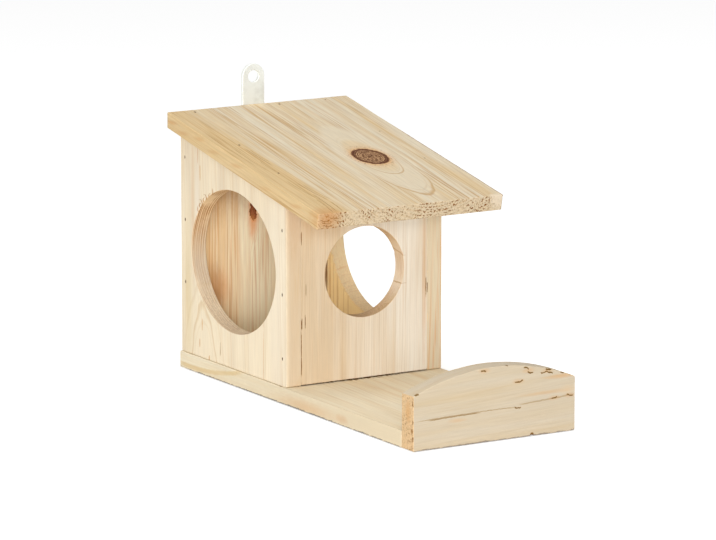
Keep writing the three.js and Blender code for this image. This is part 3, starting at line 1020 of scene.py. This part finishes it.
left_wood = wood(
    "left_side_wood",
    SIDE_GRAIN,
    early=srgb(242, 227, 199), late=srgb(210, 176, 124), warm=srgb(220, 202, 176), cut=srgb(240, 222, 192),
    ring=2.1, contrast=0.36, fibre=0.24, fine=0.32, streak=0.16, bands=0.12, seed=11.0, pores=0.15,
    warm_side=((1, 0, 0), -50.6, -48.5), rim_tone=(58, 102), rim_lines=0.9, rim_warm=0.65,
    knots=[dict(centre=(LEFT_FACE, 99.4, -8), reach=25.0, aside=16.0, push=-3.0, shift=0.0, blunt=1.3,
                fade=1.0, tones=None,
                loops=((17.0, 40.0, 49.0, 0.45, 0.03), (26.0, 50.0, 64.0, 0.22, 0.02)))],
    marks=flecks(0, LEFT_FACE, 3.0, (
        (14, 60, 16, 110, PALE, 0.25, 1.0), (118, 45, 6, 60, OLIVE, 0.35, 1.0),
        (106.2, 128, 0.45, 5.0, AMBER, 0.5, 0), (103.5, 117, 0.45, 4.5, OCHRE, 0.6, 0),
        (101.9, 28.6, 0.45, 3.5, OCHRE, 0.6, 0), (104.9, 17.5, 0.5, 2.5, AMBER, 0.5, 0),
        (93.9, 10.6, 0.6, 2.2, AMBER, 0.5, 0), (81.0, 17.6, 0.4, 4.0, BARK_AND_SHADE, 0.5, 0),
        (31.7, 24, 0.25, 20, OCHRE, 0.35, 0), (112, 95, 2.5, 50, OCHRE, 0.25, 0.9),
        (107, 100, 3.5, 45, PALE, 0.4, 0.9)))
    + flecks(1, FRONT_FACE, 3.0, (
        (-46, 60, 9, 120, END_TAN, 0.5, 0.9), (-46, 112, 9, 36, UMBER, 0.25, 0.9),
        (-41.5, 30, 0.25, 18, BARK_AND_SHADE, 0.7, 0))),
)
right_wood = wood(
    "right_side_wood",
    Grain((60, -20, 60), (0, -0.02, 1), (-1, 0, 0)),
    early=srgb(255, 238, 198), late=srgb(222, 156, 84), warm=srgb(222, 205, 176), cut=srgb(252, 230, 190),
    fibre=0.3, fine=0.5, streak=0.2, bands=0.0, seed=17.0, pores=0.15,
    rim_tone=(-40, 60), rim_warm=0.4, warm_side=((0, -1, 0), -9, -6.5),
    # The first mark is painted light: a pale orange wash over the whole inner face
    marks=[mark((right_inner - 0.1, 75, 60), (1.2, 60, 130), PAINTED_LIGHT, 0.8, 0.05),
           mark((right_inner + 0.1, FRONT_FACE, 58), (0.25, 3, 4.0), BARK_AND_SHADE, 0.9)]
    + flecks(0, right_inner, 1.2, [(y, 34, wide, 34, UMBER, depth, 0.9) for y, wide, depth in (
        (113.5, 1.2, 0.6), (109.5, 0.9, 0.35), (105, 1.3, 0.45), (98, 0.8, 0.3), (93, 1.0, 0.3))]),
)
front_wood = wood(
    "front_wood",
    Grain((-62, 40, 60), (0.01, 0, 1), (0, -1, 0)),
    early=srgb(242, 234, 220), late=srgb(198, 164, 120), warm=srgb(219, 197, 166),
    ring=1.4, contrast=0.35, fine=0.35, streak=0.2, bands=0.2, wander=4.0, seed=23.0, pores=0.3,
    rim_normal=Y, rim_tone=(10, 100), rim_lines=0.3, rim_warm=0.45, warm_side=((-1, 0, 0), -40, 42),
    marks=flecks(1, FRONT_FACE, 3.0, (
        (-41.2, 94, 0.2, 4.8, RESIN_AND_SHADE, 0.8, 0), (-38.3, 64.3, 0.2, 3.8, BARK_AND_SHADE, 0.8, 0),
        (-41.0, 45.5, 0.28, 3.8, RESIN_AND_SHADE, 0.8, 0), (-38.9, 45.5, 0.3, 5.2, RESIN_AND_SHADE, 0.7, 0),
        (-41.3, 28, 0.25, 16, BARK_AND_SHADE, 0.8, 0), (40.6, 59, 0.35, 6, BARK_AND_SHADE, 0.9, 0),
        # The last fleck, a soft ochre patch at the top left, is painted shade from the roof's overhang
        (39.5, 60, 1.6, 55, OCHRE, 0.4, 0.8), (-30, 114, 28, 24, OCHRE, 0.5, 1.0))),

    # The dark gap over the base, and the cracks that run in from the hole's two nicks
    veins=[stroke((-58, FRONT_FACE, FRONT_GAP), (52, FRONT_FACE, FRONT_GAP), Y, 0.0, 0.55, 1.0, 3.0, 0.4)]
    + [stroke((x, FRONT_FACE - 0.5, z), (end_x, FRONT_FACE + 9.5, end_z), X, 0.0, wide, depth, 2.5)
       for x, z, end_x, end_z, wide, depth in (
           (25.0, 77.5, 24.4, 81.5, 0.5, 0.55), (25.3, 61.7, 25.3, 61.7, 0.45, 0.5))],
)
back_wood = wood(
    "back_wood",
    Grain((-30, 140, 60), (0.0, 0, 1), (0, -1, 0)),
    early=srgb(255, 243, 212), late=srgb(216, 158, 100), warm=srgb(238, 204, 156),
    ring=2.2, fibre=0.3, fine=0.75, streak=0.4, bands=0.35, seed=29.0,
    knots=[dict(centre=(-8.4, BACK_FACE, 89.5), wide=2.4, long=5.0, reach=16.0, aside=6.0, push=-6.0,
                halo=0.5, shift=0.0, torn=1.3, tones=RED_KNOT, loops=())],
    warm_side=((-1, 0, 0), 14, 44),
    # The first fleck is the knot's orange halo. The rest are painted shade on the inner face: two low at the
    # left, a broad umber patch across the top under the roof, and a dark brown streak in the corner by the
    # right wall.
    marks=flecks(1, BACK_FACE, 3.0, (
        (-8.9, 81, 4, 12, EMBER, 0.6, 1.0), (-31, 46, 9, 13, EMBER, 0.35, 1.0),
        (-33, 40, 5, 26, UMBER, 0.6, 0.9), (-30, 118, 42, 34, UMBER, 0.75, 1.0),
        (42, 47, 3.5, 14, BARK_AND_SHADE, 0.9, 0.6))),
)
base_wood = wood(
    "base_wood",
    Grain((20, -30, -25), (0.03, 1, 0), (0, 0, 1)),
    early=srgb(238, 226, 199), late=srgb(206, 168, 116), warm=srgb(229, 206, 166),
    ring=3.0, contrast=0.4, wander=6.0, seed=37.0,
    marks=[mark((0, FRONT_FACE + 8, base_high.z), (44, 8, 0.6), BARK_AND_SHADE, 1.0)]
    + flecks(0, TRAY_SIDE, 1.5, (
        (-70, 5.0, 190, 20, SAND, 0.8, 1.0), (-16, 3.0, 42, 5, OCHRE, 0.35, 1.0),
        (-56, 3.5, 7, 3, AMBER, 0.3, 0.8)))
    # Painted contact shadow: a grey line along the bottom edge of the side face
    + [mark((TRAY_SIDE, 0, -0.1), (1.2, 150, 1.0), CONTACT_SHADOW, 1.0)],
    veins=[stroke((TRAY_SIDE, 132, 3.0), (TRAY_SIDE, 50, 11.0), X, 3.6, 1.8, 0.3, waver=0.8)],
    vein_tone=OLIVE,
)
WORM_TRACKS = (        # in the end board's face: x and z of the start and of the end, and the sag between
    (18.2, 38.6, 21.8, 37.2, -0.5), (20.8, 36.4, 24.7, 35.1, 0.3), (29.2, 34.6, 33.6, 35.6, 0.5),
    (33.0, 35.5, 37.6, 33.7, 0.5), (32.6, 36.8, 36.6, 35.5, 0.2), (42.2, 33.6, 44.6, 33.2, 0.1),
    (12.3, 31.5, 18.3, 31.8, 0.4), (-9.3, 40.0, -5.6, 39.6, 0.1), (7.0, 41.3, 8.4, 41.0, 0.0),
    (36.2, 19.5, 40.4, 20.3, 0.1), (46.2, 20.8, 50.9, 19.8, 0.2), (12.4, 17.2, 16.9, 16.8, 0.0),
    (-50.8, 30.6, -48.4, 31.2, 0.0),
)
end_wood = wood(
    "end_board_wood",
    Grain((-10, -105, 60), (1, 0.02, 0.05), (0, -1, 0)),
    early=srgb(206, 192, 169), late=srgb(180, 149, 106), warm=srgb(203, 182, 147), cut=srgb(222, 185, 136),
    ring=3.6, contrast=0.18, fibre=0.22, fine=0.18, streak=0.15, seed=41.0,
    marks=flecks(1, TRAY_END, 2.0, [(x, z, 4.5, 1.6, OCHRE, 0.35, 0.8) for x, z in (
        (21.5, 36.8), (33.5, 35.2), (15, 31.6), (-7, 39.6), (38.5, 19.8), (48.5, 20.2))])
    + [mark((TRAY_SIDE, TRAY_END + 0.6, z), (2.5, 0.5, long), BARK_AND_SHADE, 0.8)
       for z, long in ((26.3, 2.2), (7.4, 1.8), (16, 1.2))]
    + [mark((TRAY_SIDE, TRAY_END + 1.5, 11.2), (2.5, 1.2, 1.6), BARK_AND_SHADE, 0.6),
       mark((TRAY_SIDE, TRAY_END + 5.3, 21), (2, 3, 7), OCHRE, 0.5, 0.7)]
    + flecks(1, TRAY_END, 2.0, (
        (34, 23.2, 20, 1.3, OCHRE, 0.3, 0.8), (END_NICK, 0.9, 1.3, 1.2, BARK_AND_SHADE, 0.95, 0),
        (43, 31.4, 13, 1.5, OCHRE, 0.45, 0.8), (-24, 14.3, 7, 1.3, OCHRE, 0.3, 0.8),
        (47, 23.5, 6, 3, END_TAN, 0.5, 0.9)))
    # Painted contact shadow: a grey line along the bottom edge of the front face
    + [mark((0, TRAY_END, -0.2), (80, 1.2, 1.0), CONTACT_SHADOW, 0.85)],

    # The worms' tracks, then three long faint lines of the grain
    veins=[stroke((x, TRAY_END, z), (end_x, TRAY_END, end_z), Y, sag, 0.55, 1.0, waver=1.6)
           for x, z, end_x, end_z, sag in WORM_TRACKS]
    + [stroke((x, TRAY_END, z), (end_x, TRAY_END, end_z), Y, sag, wide, depth)
       for x, z, end_x, end_z, sag, wide, depth in (
           (-53, 16.3, 18, 17.3, -0.5, 0.35, 0.4), (-44, 16.1, -8, 16.8, -0.2, 0.35, 0.7),
           (14, 18.4, 53, 20.6, 0.2, 0.6, 0.3))],
    vein_tone=WORM,
)
fibre_wood = wood(
    "torn_fibre_wood",
    SIDE_GRAIN,
    early=srgb(200, 146, 84), late=srgb(148, 98, 50), warm=srgb(168, 120, 68), seed=47.0,
)

side_panel("left", LEFT_FACE, left_wood, seed=1.0, outer=0)
side_panel("right", right_inner, right_wood, seed=2.0, outer=1)
torn_fibres("left_hole_fibres",
            ((34, 4.0, 70, 60), (39, 6.5, 40, 250), (43, 5.0, 110, -150), (46, 4.0, 60, 120),
             (50, 5.5, 150, -200), (55, 4.0, 100, 90), (61, 3.5, 130, -80)),
            fibre_wood)
cross_panel("front_panel", front_low, front_high, front_wood, seed=3.0, hole=FRONT_HOLE_RADIUS,
            torn=((24.9, 78.5, 0.5), (25.3, 61.6, 0.7)))
cross_panel("back_panel", back_low, back_high, back_wood, seed=4.0)
roof_board(roof_wood)
base_board(base_wood)
end_board(end_wood)


# Hanging plate, screws and nails

PLATE_EDGE = 0.28
PLATE_HOLE_RADIUS = 3.5
PLATE_ARC_STEPS = 24
PLATE_STEP = 0.9
PLATE_HOLE_STEP = 0.6
SCREW_HOLE_RADIUS = 1.9
SCREW_HEAD_RADIUS = 3.0
SCREW_HEAD_HEIGHT = 2.0
SCREW_SHANK_RADIUS = 1.5
SCREW_CORE_RADIUS = 1.05
SCREW_LENGTH = 10.0
SCREW_TIP = 2.5
SCREW_SIDES = 40
THREAD_PITCH = 1.35
THREAD_STEPS = 72
THREAD_HALF = 0.22      # half width of the thread's ridge, as a share of its pitch
THREAD_INSET = 0.15     # distance from the thread to the screw's tip and to its head
RECESS_REACH = 1.75
RECESS_HALF = 0.42
RECESS_DEPTH = 1.1
NAIL_LENGTH = 20.0
NAIL_TIP = 1.6
NAIL_RADIUS = 0.6
NAIL_SIDES = 16
NAIL_HEAD_RADIUS = 1.0
NAIL_HEAD_HEIGHT = 0.8
GRIPS = 5               # grooves pressed into the shank below the head
GRIP_FOOT = -4.6
GRIP_PITCH = 0.7
GRIP_WAIST = 0.93       # radius at the bottom of a groove, as a share of the shank's

zinc = metal("zinc_plate", srgb(236, 238, 232), srgb(222, 223, 216), 0.45, 0.12)
zinc_screw = metal("zinc_screw", srgb(226, 221, 206), srgb(190, 182, 162), 0.36, 0.5)
steel = metal("nail_steel", srgb(108, 76, 46), srgb(74, 48, 28), 0.6, 1.2)


def hanger_plate():
    """Round-ended strip with one hanging hole and two screw holes, its punched edges slightly rounded"""
    plate = Board(plate_high.y - plate_low.y, 13.0, PLATE_EDGE, PLATE_STEP, rough=0.02, wear=0.3)
    radius = (plate_high.x - plate_low.x) / 2
    tall = plate_high.z - plate_low.z
    turns = [math.pi * k / PLATE_ARC_STEPS for k in range(PLATE_ARC_STEPS + 1)]
    top = [Vector((radius + radius * math.cos(t), tall - radius + radius * math.sin(t))) for t in turns]
    foot = [Vector((radius - radius * math.cos(t), radius - radius * math.sin(t))) for t in turns]
    plate.loop(divided(top + foot, PLATE_STEP))
    holes = [(tall - radius, PLATE_HOLE_RADIUS)]
    holes += [(centre.z - plate_low.z, SCREW_HOLE_RADIUS) for centre in middles("hanger_screw")]
    for level, hole in holes:
        plate.loop(oval((radius, level), hole, hole, PLATE_HOLE_STEP))
    plate.dress("hanger_plate", (X, Z, -Y), (plate_low.x, plate_high.y, plate_low.z), zinc, "zinc_plate")


def stack(shape, profile, count, turn=0.0):
    """Rings round the z axis, joined from the lowest to the highest. Each is (radius, height), and a third
    number pulls it towards a square."""
    rows = []
    for radius, height, *square in profile:
        row = []
        for angle in around(count):
            corner = 1 / max(abs(math.cos(angle)), abs(math.sin(angle))) - 1
            reach = radius * (1 + 0.7 * sum(square) * corner)
            row.append(shape.put((reach * math.cos(angle + turn), reach * math.sin(angle + turn), height)))
        rows.append(row)
    shape.band(*rows)
    return rows


def nail(name, seat, axes):
    """A nail: a flat head with a pressed rim, grip marks under it, a round shank and a four-sided point.

    It is made with its head upward at height zero."""
    dice = random.Random(name)
    turn = dice.uniform(0, math.pi)
    head = NAIL_HEAD_RADIUS * dice.uniform(0.96, 1.0)
    profile = [(0.12, -NAIL_LENGTH + 0.05, 0.9), (NAIL_RADIUS * 0.98, -NAIL_LENGTH + NAIL_TIP, 0.9),
               (NAIL_RADIUS, -NAIL_LENGTH + NAIL_TIP + 0.6)]
    for k in range(GRIPS):
        level = GRIP_FOOT + GRIP_PITCH * k
        profile += [(NAIL_RADIUS, level), (NAIL_RADIUS * GRIP_WAIST, level + 0.25),
                    (NAIL_RADIUS, level + 0.45)]
    profile += [(NAIL_RADIUS, -NAIL_HEAD_HEIGHT - 0.25), (head * 0.86, -NAIL_HEAD_HEIGHT),
                (head, -NAIL_HEAD_HEIGHT + 0.18), (head, -0.16), (head * 0.94, -0.04), (head * 0.8, 0.0),
                (head * 0.68, -0.05), (head * 0.3, -0.04)]
    shape = Shape()
    rows = stack(shape, profile, NAIL_SIDES, turn)
    shape.fan(rows[-1], (0, 0, -0.05))
    shape.fan(rows[0][::-1], (0, 0, -NAIL_LENGTH))
    shape.dress(name, axes, seat, steel, "nail_steel")


def screw(name, seat, turn):
    """A screw: a domed head with a cross recess, upward from height zero, and a coarse thread below it"""
    shape = Shape()

    def dome(x, y):
        share = min(1.0, math.hypot(x, y) / SCREW_HEAD_RADIUS)
        return SCREW_HEAD_HEIGHT * math.sqrt(1 - share ** 2.6)

    def cross(reach, half, level):
        corners = []
        for k in range(4):
            a = Vector((math.cos(turn + k * math.pi / 2), math.sin(turn + k * math.pi / 2)))
            b = Vector((-a.y, a.x))
            corners += [a * reach - b * half, a * reach + b * half, a * half + b * half]
        return [shape.put((x, y, level(x, y))) for x, y in divided(corners, 3.0)]

    profile = [(SCREW_SHANK_RADIUS * 0.98, 0.0), (SCREW_HEAD_RADIUS - 0.12, 0.0), (SCREW_HEAD_RADIUS, 0.12)]
    for radius in (SCREW_HEAD_RADIUS * share for share in (0.985, 0.95, 0.9, 0.82, 0.74)):
        profile.append((radius, max(0.2, dome(radius, 0))))
    head = stack(shape, profile, SCREW_SIDES)
    mouth = cross(RECESS_REACH, RECESS_HALF, dome)
    throat = cross(RECESS_REACH * 0.9, RECESS_HALF * 0.86, lambda x, y: dome(x, y) - 0.25)
    pit = cross(RECESS_REACH * 0.62, RECESS_HALF * 0.7, lambda x, y: SCREW_HEAD_HEIGHT - RECESS_DEPTH)
    shape.fill([head[-1], mouth], dome, True, turn, 0.5)
    shape.band(mouth, throat, pit)
    shape.fan(pit, (0, 0, SCREW_HEAD_HEIGHT - RECESS_DEPTH - 0.2))

    # The thread is a ridge that winds round the core and fades out at the point
    rows = []
    for j in range(THREAD_STEPS + 1):
        level = -SCREW_LENGTH + THREAD_INSET + (SCREW_LENGTH - 2 * THREAD_INSET) * j / THREAD_STEPS
        taper = min(1.0, (level + SCREW_LENGTH) / SCREW_TIP)
        row = []
        for k, angle in enumerate(around(SCREW_SIDES)):
            phase = (level / THREAD_PITCH + k / SCREW_SIDES) % 1
            ridge = max(0.0, 1 - abs(phase - 0.5) / THREAD_HALF)
            radius = SCREW_CORE_RADIUS + (SCREW_SHANK_RADIUS - SCREW_CORE_RADIUS) * ridge
            radius *= 0.1 + 0.9 * taper
            row.append(shape.put((radius * math.cos(angle), radius * math.sin(angle), level)))
        rows.append(row)
    shape.band(*rows, head[0])
    shape.fan(rows[0][::-1], (0, 0, -SCREW_LENGTH))
    shape.dress(name, (X, -Z, Y), seat, zinc_screw, "zinc_plate")


def outer_end(low, high, direction):
    """Middle of the end of a packed nail or screw that a direction along it points to"""
    return (low + high) / 2 + Vector([part * size / 2 for part, size in zip(direction, high - low)])


def nails_and_screws():
    """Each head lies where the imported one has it. The last of a nail's axes points out of the wood."""
    kinds = {"left_back_nail": (-Y, Z, -X), "left_front_nail": (-Y, Z, -X), "right_back_nail": (Y, Z, X),
             "right_front_nail": (Y, Z, X), "roof_nail": (X, Y, Z), "base_nail": (X, -Y, -Z)}
    for prefix, axes in kinds.items():
        for name, low, high in fasteners(prefix):
            nail(name, outer_end(low, high, axes[2]), axes)
    for k, (name, low, high) in enumerate(fasteners("hanger_screw")):
        screw(name, outer_end(low, high, Y) - Y * SCREW_HEAD_HEIGHT, 0.5 + 0.9 * k)


hanger_plate()
nails_and_screws()


# Lights, floor and background. Lamps stand at places in metres.

AMBIENT = 0.395
LIT = Vector((0, 0, 0.07))      # the point that the lamps look at
FLOOR_HALF = 6.0
FLOOR_DROP = 0.45 * MM
FLOOR_GLOW = 0.55
FLOOR_TONE = (0.8, 0.8, 0.8, 1)
WHITE = (1, 1, 1, 1)


def soft_light(name, place, size, power):
    data = bpy.data.lights.new(name, "AREA")
    data.shape = "SQUARE"
    data.size = size
    data.energy = power
    stand(bpy.data.objects.new(name, data), place, LIT - Vector(place))


soft_light("front", (-1.0, -1.65, 0.4), 0.7, 19.5)
soft_light("left", (-1.8, -0.85, 0.5), 1.0, 11.0)
soft_light("top", (-0.2, -0.5, 1.9), 1.2, 15.3)


def seen_directly(g):
    """1 for rays from the camera, from glossy reflections and through glass"""
    camera, glossy, through = (g.add("ShaderNodeLightPath", {}, ray)
                               for ray in ("Is Camera Ray", "Is Glossy Ray", "Is Transmission Ray"))
    return camera.most(glossy).most(through)


def make_world():
    world = bpy.data.worlds.new("studio")
    bpy.context.scene.world = world
    world.use_nodes = True
    g = Graph(world.node_tree)
    strength = seen_directly(g) * (1 - AMBIENT) + AMBIENT
    background = g.add("ShaderNodeBackground", {"Color": WHITE, "Strength": strength})
    g.put("ShaderNodeOutputWorld", {"Surface": background})


def make_floor():
    """A white floor that glows a little to the camera, so that only the object's shadow on it is grey"""
    mesh = bpy.data.meshes.new("floor")
    corners = [(x * FLOOR_HALF, y * FLOOR_HALF, -FLOOR_DROP) for x, y in ((-1, -1), (1, -1), (1, 1), (-1, 1))]
    mesh.from_pydata(corners, [], [(0, 1, 2, 3)])
    floor = bpy.data.objects.new("floor", mesh)
    bpy.context.scene.collection.objects.link(floor)
    material, g = new_material("floor")
    diffuse = g.add("ShaderNodeBsdfDiffuse", {"Color": FLOOR_TONE})
    glow = g.add("ShaderNodeEmission", {"Color": WHITE, "Strength": seen_directly(g) * FLOOR_GLOW})
    g.put("ShaderNodeOutputMaterial", {"Surface": g.add("ShaderNodeAddShader", {0: diffuse, 1: glow})})
    mesh.materials.append(material)


make_world()
make_floor()
